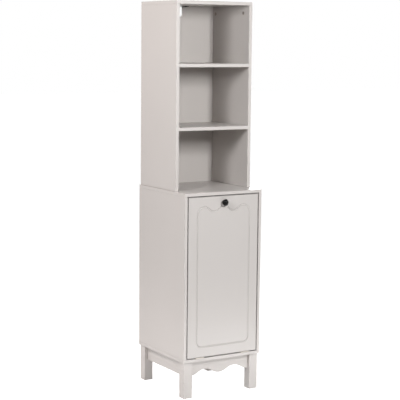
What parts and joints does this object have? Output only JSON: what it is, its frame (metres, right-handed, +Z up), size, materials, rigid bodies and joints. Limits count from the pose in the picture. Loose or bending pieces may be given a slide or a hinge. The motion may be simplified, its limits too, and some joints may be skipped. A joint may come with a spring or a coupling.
{
  "type": "bathroom cabinet",
  "caption": "Tall bathroom cabinet: open shelf compartments on a deeper lower cabinet with a tilt-out laundry door, on square legs with a scalloped apron.",
  "frame": {"origin": "on the floor under the middle of the whole object's box", "axes": "+X to the right seen from the front, +Y from front to back, +Z up; the door faces -Y"},
  "size_m": [0.4, 0.44, 1.752],
  "materials": {
    "painted_board": "warm light grey satin paint on fibreboard",
    "painted_backing": "thin hardboard with the same grey satin paint",
    "black_gloss": "polished black",
    "hinge_steel": "nickel-plated steel",
    "zinc": "die-cast zinc, dull",
    "dark_steel": "dark bronze coating",
    "beech": "plain fluted beech",
    "white_plastic": "moulded, fine grain",
    "magnet": "ground ferrite",
    "soft_pad": "translucent soft rubber",
    "rod_steel": "white powder coat",
    "canvas": "natural cotton canvas"
  },
  "bodies": {
    "cabinet": {"anti_tip_loop": "dark_steel", "anti_tip_screws": "dark_steel", "apron_dowels": "beech", "apron_front": "painted_board", "apron_left": "painted_board", "apron_rear": "painted_board", "apron_right": "painted_board", "base_screws": "hinge_steel", "brace_screws": "hinge_steel", "catch_body": "white_plastic", "catch_magnet": "magnet", "catch_screws": "hinge_steel", "door_bumpers": "soft_pad", "hinge_fixed_leaf_left": "hinge_steel", "hinge_fixed_leaf_right": "hinge_steel", "hinge_pin_left": "hinge_steel", "hinge_pin_right": "hinge_steel", "hinge_screws_cabinet": "hinge_steel", "joining_braces": "zinc", "leg_front_left": "painted_board", "leg_front_right": "painted_board", "leg_rear_left": "painted_board", "leg_rear_right": "painted_board", "lower_back_panel": "painted_backing", "lower_bottom_panel": "painted_board", "lower_cam_bolts": "zinc", "lower_cam_nuts": "zinc", "lower_dowels": "beech", "lower_left_panel": "painted_board", "lower_right_panel": "painted_board", "lower_top_panel": "painted_board", "stop_rail": "painted_board", "upper_back_panel": "painted_backing", "upper_cam_bolts": "zinc", "upper_cam_nuts": "zinc", "upper_dowels": "beech", "upper_left_panel": "painted_board", "upper_right_panel": "painted_board", "upper_shelf_bottom": "painted_board", "upper_shelf_top": "painted_board", "upper_top_panel": "painted_board"},
    "door": {"bag_rod_front": "rod_steel", "bag_rod_rear": "rod_steel", "door_knob": "black_gloss", "door_panel": "painted_board", "hinge_moving_leaf_left": "hinge_steel", "hinge_moving_leaf_right": "hinge_steel", "hinge_screws_door": "hinge_steel", "knob_screw": "hinge_steel", "laundry_bag": "canvas", "strike_plate": "hinge_steel", "strike_screw": "hinge_steel", "wing_cam_bolts": "zinc", "wing_cam_nuts": "zinc", "wing_dowels": "beech", "wing_left": "painted_board", "wing_right": "painted_board"}
  },
  "joints": [
    {"name": "door_tilt", "type": "hinge", "parent": "cabinet", "child": "door", "pos_m": [0, -0.1976, 0.1795], "axis": [1, 0, 0], "range_deg": [0, 30]}
  ]
}
